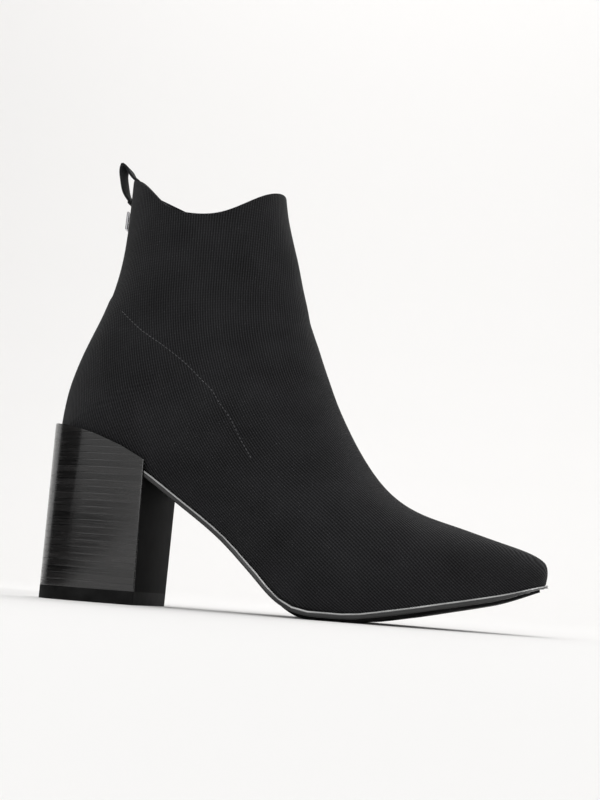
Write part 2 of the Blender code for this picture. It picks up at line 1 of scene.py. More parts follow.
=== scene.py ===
# %% [markdown]
# A black sock boot on a pale studio floor. The frame is the imported CAD model: it fixes every size and
# place, and this script dresses it. We keep the frame's own box first.

# %% Load the frame
import math

import bmesh
import bpy
import numpy as np
from mathutils import Matrix, Vector


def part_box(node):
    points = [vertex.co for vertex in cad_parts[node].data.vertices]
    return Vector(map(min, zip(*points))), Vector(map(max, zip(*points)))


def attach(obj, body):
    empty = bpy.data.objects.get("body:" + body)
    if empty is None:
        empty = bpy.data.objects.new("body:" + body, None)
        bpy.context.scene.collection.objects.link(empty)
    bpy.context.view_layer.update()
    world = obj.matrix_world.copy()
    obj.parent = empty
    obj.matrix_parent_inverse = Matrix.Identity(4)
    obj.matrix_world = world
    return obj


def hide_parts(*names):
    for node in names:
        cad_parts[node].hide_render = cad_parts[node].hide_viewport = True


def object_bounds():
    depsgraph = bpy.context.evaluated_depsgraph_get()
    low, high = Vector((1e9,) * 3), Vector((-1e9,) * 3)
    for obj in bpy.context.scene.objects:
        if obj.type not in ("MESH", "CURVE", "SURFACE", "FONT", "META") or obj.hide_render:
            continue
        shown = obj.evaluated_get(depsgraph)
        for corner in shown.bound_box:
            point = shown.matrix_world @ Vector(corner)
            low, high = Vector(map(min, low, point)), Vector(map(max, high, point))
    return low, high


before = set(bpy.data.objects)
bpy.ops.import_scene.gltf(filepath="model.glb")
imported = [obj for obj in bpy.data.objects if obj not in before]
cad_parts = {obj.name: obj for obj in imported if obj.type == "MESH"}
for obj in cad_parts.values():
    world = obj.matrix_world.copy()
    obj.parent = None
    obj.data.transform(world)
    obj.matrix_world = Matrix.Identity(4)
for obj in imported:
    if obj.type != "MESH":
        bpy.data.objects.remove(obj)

MM = 0.001
cad_box = [list(corner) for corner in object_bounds()]
boot_low, boot_high = (Vector(corner) for corner in cad_box)
print("boot, mm:", [round(size / MM, 1) for size in boot_high - boot_low])

# %% [markdown]
# The photograph looks at the inner side of the boot, a little from the front and from low down. Our boot
# stands on a floor, so the camera goes as low as the floor lets it, and keeps the same turn and the same
# roll. It comes closer than it was for the photograph: then it looks up at the collar as steeply as there,
# and the inner rim hides the outer one. The lens is short enough to take the whole boot in.

# %% Camera
CAMERA_DISTANCE = 0.64
CAMERA_TURN = math.radians(11.5)
CAMERA_HEIGHT = 0.009
CAMERA_ROLL = math.radians(4.4)
CAMERA_LENS = 61.5
AIM_ALONG, AIM_UP = 0.4956, 0.4718

camera_aim = Vector((boot_low.x + AIM_ALONG * (boot_high.x - boot_low.x), 0.0, AIM_UP * boot_high.z))
camera_place = Vector((camera_aim.x + CAMERA_DISTANCE * math.sin(CAMERA_TURN),
                       -CAMERA_DISTANCE * math.cos(CAMERA_TURN), CAMERA_HEIGHT))
camera_data = bpy.data.cameras.new("camera")
camera_data.lens = CAMERA_LENS
camera_data.clip_start = 0.001
camera_data.clip_end = 20.0
camera = bpy.data.objects.new("camera", camera_data)
bpy.context.scene.collection.objects.link(camera)
look = (camera_aim - camera_place).to_track_quat("-Z", "Y").to_matrix().to_4x4()
camera.matrix_world = Matrix.Translation(camera_place) @ look @ Matrix.Rotation(CAMERA_ROLL, 4, "Z")
bpy.context.scene.camera = camera
print("camera at, mm:", [round(value / MM) for value in camera_place])

# %% [markdown]
# Every piece below starts the same way: nothing selected, one object active, and Blender's own tools on it.
# A CAD node is loose triangles, so a piece that needs more shape starts from a merged copy of it, in the
# same place.

# %% Helpers for pieces
MERGE_WITHIN = 0.01 * MM
SELECT_MODES = {"verts": "VERT", "edges": "EDGE", "faces": "FACE"}


def select_only(piece):
    """Deselect everything, then select one object and make it active."""
    bpy.ops.object.select_all(action="DESELECT")
    piece.select_set(True)
    bpy.context.view_layer.objects.active = piece


def start_editing(piece):
    """Go into edit mode on one piece, with all of its mesh selected."""
    select_only(piece)
    bpy.ops.object.mode_set(mode="EDIT")
    bpy.ops.mesh.select_all(action="SELECT")


def stop_editing():
    """Leave edit mode; the piece stays selected and active."""
    bpy.ops.object.mode_set(mode="OBJECT")


def merged_copy(node, name):
    """A copy of a CAD node with its loose triangles joined up."""
    piece = bpy.data.objects.new(name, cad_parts[node].data.copy())
    bpy.context.scene.collection.objects.link(piece)
    piece.data.materials.clear()
    start_editing(piece)
    bpy.ops.mesh.remove_doubles(threshold=MERGE_WITHIN)
    stop_editing()
    return piece


def pick(piece, kind, wanted):
    """In edit mode, select the faces, edges or verts for which wanted(element) is true, and count them."""
    bpy.ops.mesh.select_mode(type=SELECT_MODES[kind])
    bpy.ops.mesh.select_all(action="DESELECT")
    mesh = bmesh.from_edit_mesh(piece.data)
    elements = getattr(mesh, kind)
    for element in elements:
        element.select_set(bool(wanted(element)))
    bmesh.update_edit_mesh(piece.data)
    return sum(element.select for element in elements)


def finish_with(piece, kind, **settings):
    """Add a modifier with these settings and apply it."""
    select_only(piece)
    modifier = piece.modifiers.new(kind.lower(), kind)
    for key, value in settings.items():
        setattr(modifier, key, value)
    bpy.ops.object.modifier_apply(modifier=modifier.name)


def smooth_below(piece, angle):
    """Shade a piece smooth, but for edges that turn by more than an angle in degrees."""
    select_only(piece)
    bpy.ops.object.shade_smooth_by_angle(angle=math.radians(angle))


def wear(piece, slot, *materials):
    """Give a piece its materials and its body. The slot is not used."""
    piece.data.materials.clear()
    for material in materials:
        piece.data.materials.append(material)
    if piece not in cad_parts.values():
        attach(piece, "root")
    print(piece.name, "wears", materials[0].name)


# %% [markdown]
# Some forms are easier to reckon than to drag. Then we read all the vertices of a mesh as rows of numbers,
# change the rows and put them back, which is as quick for ten thousand vertices as for ten.

# %% Helpers for vertices
def vertex_rows(piece, reading):
    """One row of three numbers for each vertex: its place is read as co, its normal as normal."""
    return np.array([getattr(vertex, reading)[:] for vertex in piece.data.vertices])


def move_vertices(piece, places):
    """Put a piece's vertices at new places."""
    piece.data.vertices.foreach_set("co", places.ravel())
    piece.data.update()


def eased(share):
    """A share held between 0 and 1, with a soft start and a soft end."""
    share = np.clip(share, 0, 1)
    return share * share * (3 - 2 * share)


# %% [markdown]
# Finishes are node trees on a Principled shader. Colours are picked as the hex values that a paint program
# shows, so one function turns them into the linear light that the shader works in, and one more adds a
# node.

# %% Helpers for finishes
def linear(hex_colour):
    """An sRGB hex colour as linear red, green, blue and alpha."""
    channels = [int(hex_colour[start:start + 2], 16) / 255 for start in (1, 3, 5)]
    return [c / 12.92 if c <= 0.04045 else ((c + 0.055) / 1.055) ** 2.4 for c in channels] + [1.0]


def finish(name, colour, roughness, **constants):
    """A new Principled material with its constant values set on the shader's sockets."""
    material = bpy.data.materials.new(name)
    material.use_nodes = True
    shader = material.node_tree.nodes["Principled BSDF"]
    shader.inputs["Base Color"].default_value = linear(colour)
    shader.inputs["Roughness"].default_value = roughness
    for socket, value in constants.items():
        shader.inputs[socket.replace("_", " ")].default_value = value
    material.diffuse_color = linear(colour)
    return material, shader


def add(material, kind, **given):
    """Add a node. A name in small letters is one of its settings; i0, i1 and so on are its sockets by number,
    and a capitalised name is a socket by name. A socket takes a value, a socket, or a node's first output."""
    made = material.node_tree.nodes.new("ShaderNode" + kind)
    for key, value in given.items():
        by_number = key[1:].isdigit()
        if key.islower() and not by_number:
            setattr(made, key, value)
            continue
        socket = made.inputs[int(key[1:])] if by_number else made.inputs[key.replace("_", " ")]
        value = value.outputs[0] if isinstance(value, bpy.types.Node) else value
        if isinstance(value, bpy.types.NodeSocket):
            material.node_tree.links.new(value, socket)
        else:
            socket.default_value = value
    return made


def feed(material, shader, **outputs):
    """Join nodes or sockets to the shader's inputs."""
    for name, output in outputs.items():
        output = output.outputs[0] if isinstance(output, bpy.types.Node) else output
        material.node_tree.links.new(output, shader.inputs[name.replace("_", " ")])


# %% [markdown]
# The upper is a ribbed knit, pulled over a last like a sock. The CAD solid has the last's true shape, as a
# wall of flat facets. We keep the faces of its outer skin only, round them with a subdivision surface, and
# give the skin its wall again at the end. So the form stays and the facets go. To tell the skin from the
# lining side, we ask whether a face looks away from a line that runs down the leg and along the foot. The
# line is written as shares of the upper's box.

# %% The skin of the upper
LOOKS_OUTWARDS = 0.25
SAME_QUAD = math.radians(60)
LEG_LINE_SHARES = ((0.28, 0.50, 1.15), (0.29, 0.50, 0.55), (0.61, 0.49, 0.10), (0.955, 0.43, 0.085))

upper_low, upper_high = (np.array(corner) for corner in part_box("upper"))


def upper_place(along, across, up):
    """A point given as shares of the upper's box, from its heel, its inner side and its lower edge."""
    return upper_low + np.array([along, across, up]) * (upper_high - upper_low)


LEG_LINE = [upper_place(*shares) for shares in LEG_LINE_SHARES]


def off_the_line(point):
    """The direction from the nearest place on the leg line to a point."""
    steps = []
    for start, end in zip(LEG_LINE, LEG_LINE[1:]):
        run = end - start
        share = np.clip(np.dot(point - start, run) / np.dot(run, run), 0, 1)
        steps.append(point - (start + share * run))
    nearest = min(steps, key=np.linalg.norm)
    return nearest / np.linalg.norm(nearest)


def looks_inwards(face):
    """True for the lining side and for the narrow rims."""
    return np.dot(np.array(face.normal), off_the_line(np.array(face.calc_center_median()))) < LOOKS_OUTWARDS


upper = merged_copy("upper", "knit_upper")
start_editing(upper)
lining_faces = pick(upper, "faces", looks_inwards)
bpy.ops.mesh.delete(type="FACE")
bpy.ops.mesh.select_all(action="SELECT")
bpy.ops.mesh.tris_convert_to_quads(face_threshold=SAME_QUAD, shape_threshold=SAME_QUAD)
stop_editing()
print("lining faces taken off:", lining_faces, "skin faces kept:", len(upper.data.polygons))

# %% [markdown]
# One round of subdivision is enough to lay the ribs on. A second one follows before the fine forms are
# pressed in.

# %% Round the skin
finish_with(upper, "SUBSURF", levels=1, render_levels=1)
print("skin faces:", len(upper.data.polygons))

# %% [markdown]
# The ribs of the knit run straight down the leg, bend at the ankle and cross the forefoot at a slant. Seen
# from the side they are simple lines, so we first write them as a plain side view: straight down, round a
# bend, and straight on.

# %% The ribs in the side view
BEND_X, _, BEND_Z = upper_place(0.82, 0, 0.72)
BEND_TURN = math.radians(50)
BEND_RADIUS = 120 * MM


def rib_lines(x, z):
    """In the side view: the distance across the ribs, and the distance along them."""
    back, down = BEND_X - x, BEND_Z - z
    turned = np.clip(np.arctan2(down, back), 0, BEND_TURN)
    across = back * np.cos(turned) + down * np.sin(turned)
    past = down * np.cos(turned) - back * np.sin(turned)
    return across, turned * BEND_RADIUS + past


boot_ends = (boot_high.x, boot_low.x)
print("across the ribs, from toe to heel, mm:", [round(rib_lines(x, 0)[0] / MM) for x in boot_ends])

# %% [markdown]
# Drawn that way, the ribs would smear over the back, the front and the toe, where the skin turns away. A
# real rib is as wide there as anywhere. So at every vertex we ask for a slope: the reading should grow in
# the side view's direction, laid flat on the skin, by one millimetre for each millimetre. At the front and
# at the back a rib runs along the middle of the boot, so where the skin faces forwards or backwards, the
# slope is turned straight across.

# %% Slopes of the rib readings
NUDGE = 0.5 * MM
LEAST_SLOPE = 0.05
TURNED_AWAY = 0.55

skin, normals = vertex_rows(upper, "co"), vertex_rows(upper, "normal")


def side_view_slopes(reading):
    """At each vertex, how fast a side-view reading grows along x and z."""
    x, z = skin[:, 0], skin[:, 2]
    slopes = np.zeros_like(skin)
    slopes[:, 0] = (rib_lines(x + NUDGE, z)[reading] - rib_lines(x - NUDGE, z)[reading]) / (2 * NUDGE)
    slopes[:, 2] = (rib_lines(x, z + NUDGE)[reading] - rib_lines(x, z - NUDGE)[reading]) / (2 * NUDGE)
    return slopes


def laid_on_skin(slopes):
    """The slopes without their part that leaves the skin, each one millimetre for one."""
    slopes = slopes - normals * (slopes * normals).sum(axis=1)[:, None]
    return slopes / np.maximum(np.linalg.norm(slopes, axis=1), LEAST_SLOPE)[:, None]


def across_slopes():
    """Across the ribs: the side view's slope on the sides, and straight across the boot at front and back."""
    plain = side_view_slopes(0)
    facing = (plain * normals).sum(axis=1)
    sideways = eased(np.abs(normals[:, 1]) / TURNED_AWAY)
    slopes = plain - normals * facing[:, None]
    slopes[:, [0, 2]] *= sideways[:, None]
    slopes[:, 1] -= (1 - sideways) * np.sign(normals[:, 1]) * np.sign(facing)
    return laid_on_skin(slopes)


def along_slopes(across):
    """Along the ribs: square to the slope across them."""
    slopes = side_view_slopes(1)
    slopes -= across * (slopes * across).sum(axis=1)[:, None]
    return laid_on_skin(slopes)


across = across_slopes()
along = along_slopes(across)
print("slopes asked for at", len(across), "vertices")

# %% [markdown]
# No reading can have those slopes exactly on a rounded form, as no flat cloth covers a ball without a
# crease. The one with the least error over all the edges is found by conjugate gradients, a few lines of
# arithmetic that come nearer with each round. It goes into a UV layer, which the knit's pattern reads.

# %% Lay the readings over the skin
MOST_ROUNDS = 800
NEAR_ENOUGH = 1e-16

near, far = np.array([edge.vertices[:] for edge in upper.data.edges]).T


def gather(edge_values):
    """Add each edge's value to its far vertex and take it from its near one."""
    total = np.zeros(len(skin))
    np.add.at(total, far, edge_values)
    np.add.at(total, near, -edge_values)
    return total


def over_the_skin(slopes, value):
    """The readings whose steps along the edges come nearest to the slopes."""
    edges = skin[far] - skin[near]
    wanted = ((slopes[near] + slopes[far]) / 2 * edges).sum(axis=1)
    error = gather(wanted - (value[far] - value[near]))
    way, size = error.copy(), error @ error
    for _ in range(MOST_ROUNDS):
        pull = gather(way[far] - way[near])
        share = size / (way @ pull)
        value = value + share * way
        error = error - share * pull
        size, last_size = error @ error, size
        if size < NEAR_ENOUGH:
            break
        way = error + size / last_size * way
    mean_error = np.abs(value[far] - value[near] - wanted).mean() / np.linalg.norm(edges, axis=1).mean()
    print("mean error of a step, of its length:", round(float(mean_error), 3))
    return value


plain_across, plain_along = rib_lines(skin[:, 0], skin[:, 2])
ribs = np.column_stack([over_the_skin(across, plain_across), over_the_skin(along, plain_along)]) / MM
rib_layer = upper.data.uv_layers.new(name="ribs")
corner_vertex = np.empty(len(upper.data.loops), dtype=int)
upper.data.loops.foreach_get("vertex_index", corner_vertex)
rib_layer.data.foreach_set("uv", ribs[corner_vertex].ravel())

# %% [markdown]
# Inside the heel sits a stiff counter, and the knit shows its edge as a soft step. It starts at the back of
# the ankle and runs forwards and down, and a line of small stitches follows it on the inner side. We press
# the step in by moving vertices: below the line the skin stands a little proud, and the change is spread
# over some millimetres, as cloth would spread it. The line is a smooth curve through a few points, which
# are shares of the upper's length and height.

# %% The line of the heel counter
SEAM_PATH = ((0.141, 0.656), (0.184, 0.615), (0.244, 0.571), (0.286, 0.536), (0.318, 0.503), (0.343, 0.477),
             (0.361, 0.448), (0.381, 0.420), (0.408, 0.368), (0.436, 0.320))


def smooth_path(points, step):
    """Evenly spaced places along a smooth curve through a few points."""
    points = np.array(points)
    run = np.concatenate([[0.0], np.cumsum(np.linalg.norm(np.diff(points, axis=0), axis=1))])
    slopes = np.gradient(points, run, axis=0)
    wanted = np.arange(0, run[-1], step)
    index = np.clip(np.searchsorted(run, wanted, side="right") - 1, 0, len(run) - 2)
    span = (run[index + 1] - run[index])[:, None]
    share = ((wanted - run[index]) / span[:, 0])[:, None]
    before, after = points[index], points[index + 1]
    return ((1 + 2 * share) * (1 - share) ** 2 * before + share * (1 - share) ** 2 * span * slopes[index]
            + share ** 2 * (3 - 2 * share) * after + share ** 2 * (share - 1) * span * slopes[index + 1])


seam_sight = [upper_place(along_share, 0, up_share)[[0, 2]] for along_share, up_share in SEAM_PATH]
print("the seam starts and ends at, mm:", [np.round(seam_sight[end] / MM).tolist() for end in (0, -1)])

# %% [markdown]
# The step follows the same line, and starts a little before the first stitch. It fades out towards the
# front end of the line and towards the sole.

# %% The edge of the heel counter
COUNTER_STEP = 0.55 * MM
COUNTER_SPREAD = 3.0 * MM
COUNTER_LOW = upper_place(0, 0, 0.30)[2]
COUNTER_FADE = 25 * MM
COUNTER_LEAD = 0.9
LAST_THIRD = 1 / 3
ROUTE_STEP = 2 * MM

finish_with(upper, "SUBSURF", levels=1, render_levels=1)
counter_start = seam_sight[0] + COUNTER_LEAD * (seam_sight[0] - seam_sight[1])
counter_route = smooth_path([counter_start] + seam_sight, ROUTE_STEP)
skin, normals = vertex_rows(upper, "co"), vertex_rows(upper, "normal")
steps = skin[:, None, [0, 2]] - counter_route[None]
nearest = np.minimum(np.linalg.norm(steps, axis=2).argmin(axis=1), len(counter_route) - 2)
to_skin = steps[np.arange(len(skin)), nearest]
run = counter_route[nearest + 1] - counter_route[nearest]
below = (run[:, 1] * to_skin[:, 0] - run[:, 0] * to_skin[:, 1]) / np.linalg.norm(run, axis=1)
fade_forwards = np.clip((1 - nearest / (len(counter_route) - 1)) / LAST_THIRD, 0, 1)
fade_down = np.clip((skin[:, 2] - COUNTER_LOW) / COUNTER_FADE, 0, 1)
proud = COUNTER_STEP * eased(below / COUNTER_SPREAD + 0.5) * fade_forwards * fade_down
move_vertices(upper, skin + normals * proud[:, None])
print("skin faces:", len(upper.data.polygons), "most proud, mm:", round(proud.max() / MM, 2))

# %% [markdown]
# The skin is still a sheet with no thickness. Solidify grows the wall inwards, so that the outside keeps
# its size, and gives the inside its own material, the lining. A fine bevel rounds the rim at the collar.

# %% Give the skin its wall
WALL = 1.6 * MM
RIM_ROUND = 0.4 * MM

finish_with(upper, "SOLIDIFY", thickness=WALL, offset=-1.0, use_rim=True, material_offset=1,
            material_offset_rim=0)
finish_with(upper, "BEVEL", width=RIM_ROUND, segments=2, limit_method="ANGLE", angle_limit=math.radians(60))
smooth_below(upper, 50)
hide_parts("upper")
print("upper faces:", len(upper.data.polygons))

# %% [markdown]
# The knit is black viscose and elastane, knitted in fine ribs. Each rib is a column of small V-shaped
# loops. The pattern reads the millimetres that were laid over the skin, so a rib is as wide everywhere.
# Ribs of such a knit are often under a millimetre wide and would blur into grey here, so they are drawn
# 1.15 mm wide, as coarse as they need to show. They give the eye a fine ruled line where light grazes them,
# with grooves darkened as painted shade and a dusty look.

# %% The height of the knit
RIB_PITCH = 1.15
LOOP_PITCH = 1.3
LOOP_LEAN = 0.9
FUZZ_SIZE = 1.111
RIB_SHARE, LOOP_SHARE, FUZZ_SHARE = 0.8, 0.22, 0.25

rib_knit, shader = finish("ribbed viscose knit", "#161617", 0.8, Sheen_Weight=0.05, Sheen_Roughness=0.4,
                          Specular_IOR_Level=0.08)
rib_map = add(rib_knit, "UVMap", uv_map="ribs")
split = add(rib_knit, "SeparateXYZ", Vector=rib_map)
rib_turn = add(rib_knit, "Math", operation="MULTIPLY", i0=split.outputs["X"], i1=2 * math.pi / RIB_PITCH)
rib_wave = add(rib_knit, "Math", operation="COSINE", i0=rib_turn)
rib_wave = add(rib_knit, "Math", operation="MULTIPLY_ADD", i0=rib_wave, i1=0.5, i2=0.5)
rib_side = add(rib_knit, "Math", operation="SINE", i0=rib_turn)
rib_side = add(rib_knit, "Math", operation="ABSOLUTE", i0=rib_side)
lean = add(rib_knit, "Math", operation="MULTIPLY", i0=rib_side, i1=LOOP_LEAN)
loop_turn = add(rib_knit, "Math", operation="MULTIPLY_ADD", i0=split.outputs["Y"],
                i1=2 * math.pi / LOOP_PITCH, i2=lean)
loop_wave = add(rib_knit, "Math", operation="SINE", i0=loop_turn)
loop_wave = add(rib_knit, "Math", operation="MULTIPLY_ADD", i0=loop_wave, i1=0.5, i2=0.5)
fuzz = add(rib_knit, "TexNoise", Vector=rib_map, Scale=1 / FUZZ_SIZE, Detail=4.0, Roughness=0.7)
knit_height = add(rib_knit, "Math", operation="MULTIPLY", i0=fuzz, i1=FUZZ_SHARE)
knit_height = add(rib_knit, "Math", operation="MULTIPLY_ADD", i0=loop_wave, i1=LOOP_SHARE, i2=knit_height)
knit_height = add(rib_knit, "Math", operation="MULTIPLY_ADD", i0=rib_wave, i1=RIB_SHARE, i2=knit_height)
print("a rib, mm:", RIB_PITCH, "a loop, mm:", LOOP_PITCH)

# %% [markdown]
# The same height darkens the grooves: painted shade. Large soft clouds keep the black from looking
# printed, and on the ribs a few light flecks are painted glints, where fibres stand up and catch the light.

# %% The colour of the knit, with painted shade and glints
CLOUD_SIZE = 22.22
FLECK_SIZE = 0.625
CLOUD_SHARE = 0.5
GROOVE_SHADE_SHARE = 0.75
KNIT_DEPTH = 0.3 * MM

cloud = add(rib_knit, "TexNoise", Vector=rib_map, Scale=1 / CLOUD_SIZE, Detail=2.0)
cloud = add(rib_knit, "Math", operation="MULTIPLY", i0=cloud, i1=CLOUD_SHARE)
# Painted shade: the lower the knit's height, the darker the yarn, so the grooves are shaded in the colour.
clouds_and_groove_shade = add(rib_knit, "Math", operation="MULTIPLY_ADD", i0=knit_height, i1=GROOVE_SHADE_SHARE, i2=cloud)
share = add(rib_knit, "MapRange", Value=clouds_and_groove_shade, From_Min=0.25, From_Max=1.3)
yarn_with_painted_light = add(rib_knit, "Mix", data_type="RGBA", i0=share, i6=linear("#070707"), i7=linear("#313133")).outputs[2]
# Painted glints: light flecks on the rib crests, where standing fibres would catch the light.
painted_glints = add(rib_knit, "TexNoise", Vector=rib_map, Scale=1 / FLECK_SIZE, Detail=2.0, Roughness=0.6)
painted_glints = add(rib_knit, "MapRange", Value=painted_glints, From_Min=0.66, From_Max=0.74)
painted_glints = add(rib_knit, "Math", operation="MULTIPLY", i0=painted_glints, i1=rib_wave)
yarn_with_painted_light = add(rib_knit, "Mix", data_type="RGBA", i0=painted_glints, i6=yarn_with_painted_light, i7=linear("#56575a")).outputs[2]
feed(rib_knit, shader, Base_Color=yarn_with_painted_light, Normal=add(rib_knit, "Bump", Distance=KNIT_DEPTH, Height=knit_height))

# %% [markdown]
# The lining is a brushed textile, darker than the knit, with a short nap and no shine at all. The nap is
# finer in truth, and is drawn as patches of about a millimetre.

# %% Lining finish
NAP_SIZE = 1.111 * MM
NAP_DEPTH = 0.1 * MM

lining, shader = finish("brushed textile lining", "#131314", 0.9, Specular_IOR_Level=0.1)
where = add(lining, "TexCoord").outputs["Object"]
nap = add(lining, "TexNoise", Vector=where, Scale=1 / NAP_SIZE, Detail=3.0)
share = add(lining, "MapRange", Value=nap, From_Min=0.3, From_Max=0.7)
cloth = add(lining, "Mix", data_type="RGBA", i0=share, i6=linear("#0c0c0c"), i7=linear("#1a1a1b")).outputs[2]
feed(lining, shader, Base_Color=cloth, Normal=add(lining, "Bump", Distance=NAP_DEPTH, Height=nap))
wear(upper, "rib_knit", rib_knit, lining)

# %% [markdown]
# The stitches along the counter's edge are slim beads of thread, half sunk into the knit. One bead is
# modelled and copied along the line, and each copy finds its place by looking at the skin from the side. On
# the outer side only the first few show.

# %% Seam stitches on the quarter
STITCH_LENGTH = 1.5 * MM
STITCH_STEP = 2.0 * MM
THREAD_WIDTH = 0.45 * MM
SIDE_VIEW_FROM = 200 * MM
OUTER_SHARE = 0.3


def stitched_line(name, side, last_share=1.0):
    """Beads of thread along the seam on one side of the upper; side is -1 on the inner side."""
    route = smooth_path(seam_sight, STITCH_STEP)
    bpy.ops.object.select_all(action="DESELECT")
    bpy.ops.mesh.primitive_uv_sphere_add(segments=8, ring_count=5, radius=0.5)
    bead = bpy.context.active_object
    made = bmesh.new()
    for number in range(int((len(route) - 1) * last_share)):
        here, there = route[number], route[number + 1]
        hit, spot, normal, _ = upper.ray_cast((here[0], side * SIDE_VIEW_FROM, here[1]), (0, -side, 0))
        if not hit:
            continue
        run = Vector((there[0] - here[0], 0, there[1] - here[1])).normalized()
        run = (run - normal * run.dot(normal)).normalized()
        turn = Matrix((run, normal.cross(run), normal)).transposed().to_4x4()
        size = Matrix.Diagonal((STITCH_LENGTH, THREAD_WIDTH, THREAD_WIDTH, 1))
        copy = bead.data.copy()
        copy.transform(Matrix.Translation(spot) @ turn @ size)
        made.from_mesh(copy)
        bpy.data.meshes.remove(copy)
    bpy.data.objects.remove(bead)
    stitches = bpy.data.objects.new(name, bpy.data.meshes.new(name))
    made.to_mesh(stitches.data)
    made.free()
    bpy.context.scene.collection.objects.link(stitches)
    select_only(stitches)
    bpy.ops.object.shade_smooth()
    print(name, "faces:", len(stitches.data.polygons))
    return stitches


inner_stitches = stitched_line("inner_seam_stitches", -1)
outer_stitches = stitched_line("outer_seam_stitches", 1, OUTER_SHARE)

# %% [markdown]
# The thread is polyester, a little lighter than the knit. Its twist is too fine to show, so it is drawn as
# patches of 0.4 mm, which only break up the light on each bead.

# %% Thread finish
TWIST_SIZE = 0.4 * MM
TWIST_DEPTH = 0.05 * MM

thread, shader = finish("polyester thread", "#303032", 0.55, Sheen_Weight=0.3)
where = add(thread, "TexCoord").outputs["Object"]
twist = add(thread, "TexNoise", Vector=where, Scale=1 / TWIST_SIZE)
share = add(thread, "MapRange", Value=twist, From_Min=0.3, From_Max=0.7)
strand = add(thread, "Mix", data_type="RGBA", i0=share, i6=linear("#232325"), i7=linear("#3e3e41")).outputs[2]
feed(thread, shader, Base_Color=strand, Normal=add(thread, "Bump", Distance=TWIST_DEPTH, Height=twist))
wear(inner_stitches, "rib_knit", thread)
wear(outer_stitches, "rib_knit", thread)

# %% [markdown]
# The heel is a block built of thin leather layers, sanded flush, stained black and waxed. Its form is right
# in the CAD, so we keep it and only round the two long edges of its breast, the flat front, because they
# catch the light as a bright line. The flat faces are first dissolved into one each, so that only real
# edges are left to pick.

# %% Heel block
BREAST_ROUND = 0.8 * MM
BREAST_DEPTH = 6 * MM
UPRIGHT = 0.9
REAL_CORNER = math.radians(50)

heel_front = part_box("heel_block")[1][0]


def breast_edge(edge):
    """True for an upright edge with a real corner, near the heel's front."""
    low, high = sorted((vertex.co for vertex in edge.verts), key=lambda spot: spot.z)
    at_front = min(low.x, high.x) > heel_front - BREAST_DEPTH
    upright = high.z - low.z > UPRIGHT * edge.calc_length()
    return at_front and upright and edge.calc_face_angle(0) > REAL_CORNER


heel_block = merged_copy("heel_block", "stacked_heel")
start_editing(heel_block)
bpy.ops.mesh.dissolve_limited(angle_limit=math.radians(1))
print("edges rounded at the breast:", pick(heel_block, "edges", breast_edge))
bpy.ops.mesh.bevel(offset=BREAST_ROUND, segments=3, affect="EDGES")
stop_editing()
smooth_below(heel_block, 35)
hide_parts("heel_block")
print("heel faces:", len(heel_block.data.polygons))

# %% [markdown]
# The layers show as faint level lines about 3 mm apart, and each layer takes the stain a little
# differently. Long thin streaks of grain run level too, and they change both the colour and the gloss. Over
# it all lies a coat of wax.

# %% Stacked leather finish
LAYER_HEIGHT = 3.1 * MM
GRAIN_RUN, GRAIN_HEIGHT = 16.67 * MM, 0.7143 * MM
LAYER_SHARE, STREAK_SHARE, JOINT_SHARE = 0.35, 0.65, 0.35
STREAK_RELIEF = 0.3
GRAIN_DEPTH = 0.05 * MM

stacked, shader = finish("stained stacked leather", "#161616", 0.30, Coat_Weight=0.35, Coat_Roughness=0.14,
                         Specular_IOR_Level=0.5)
where = add(stacked, "TexCoord").outputs["Object"]
height = add(stacked, "SeparateXYZ", Vector=where).outputs["Z"]
layer = add(stacked, "Math", operation="DIVIDE", i0=height, i1=LAYER_HEIGHT)
in_layer = add(stacked, "Math", operation="FRACT", i0=layer)
in_layer = add(stacked, "Math", operation="SUBTRACT", i0=in_layer, i1=0.5)
in_layer = add(stacked, "Math", operation="ABSOLUTE", i0=in_layer)
joint = add(stacked, "MapRange", Value=in_layer, From_Min=0.42, From_Max=0.5)
layer_number = add(stacked, "Math", operation="FLOOR", i0=layer)
layer_shade = add(stacked, "TexWhiteNoise", noise_dimensions="1D", W=layer_number)
streaks = add(stacked, "Mapping", Vector=where, Scale=(1 / GRAIN_RUN, 1 / GRAIN_RUN, 1 / GRAIN_HEIGHT))
streaks = add(stacked, "TexNoise", Vector=streaks, Scale=1.0, Detail=4.0)
stain = add(stacked, "Math", operation="MULTIPLY", i0=layer_shade, i1=LAYER_SHARE)
stain = add(stacked, "Math", operation="MULTIPLY_ADD", i0=streaks, i1=STREAK_SHARE, i2=stain)
stain = add(stacked, "Math", operation="MULTIPLY_ADD", i0=joint, i1=-JOINT_SHARE, i2=stain)
share = add(stacked, "MapRange", Value=stain, From_Min=0.15, From_Max=0.75)
hide = add(stacked, "Mix", data_type="RGBA", i0=share, i6=linear("#0c0c0c"), i7=linear("#262525")).outputs[2]
gloss = add(stacked, "MapRange", Value=streaks, From_Min=0.3, From_Max=0.7, To_Min=0.18, To_Max=0.3)
relief = add(stacked, "Math", operation="MULTIPLY", i0=streaks, i1=STREAK_RELIEF)
relief = add(stacked, "Math", operation="SUBTRACT", i0=relief, i1=joint)
feed(stacked, shader, Base_Color=hide, Roughness=gloss,
     Normal=add(stacked, "Bump", Distance=GRAIN_DEPTH, Height=relief))

# %% [markdown]
# The breast, the flat front of the heel, gets a black of its own, darker and duller than the waxed layers.
# The darker black is painted shade: the breast lies in the shadow of the boot.

# %% Breast finish, darker as painted shade
SCUFF_SIZE = 6.25 * MM
SCUFF_DEPTH = 0.05 * MM
FACES_FORWARDS = 0.98
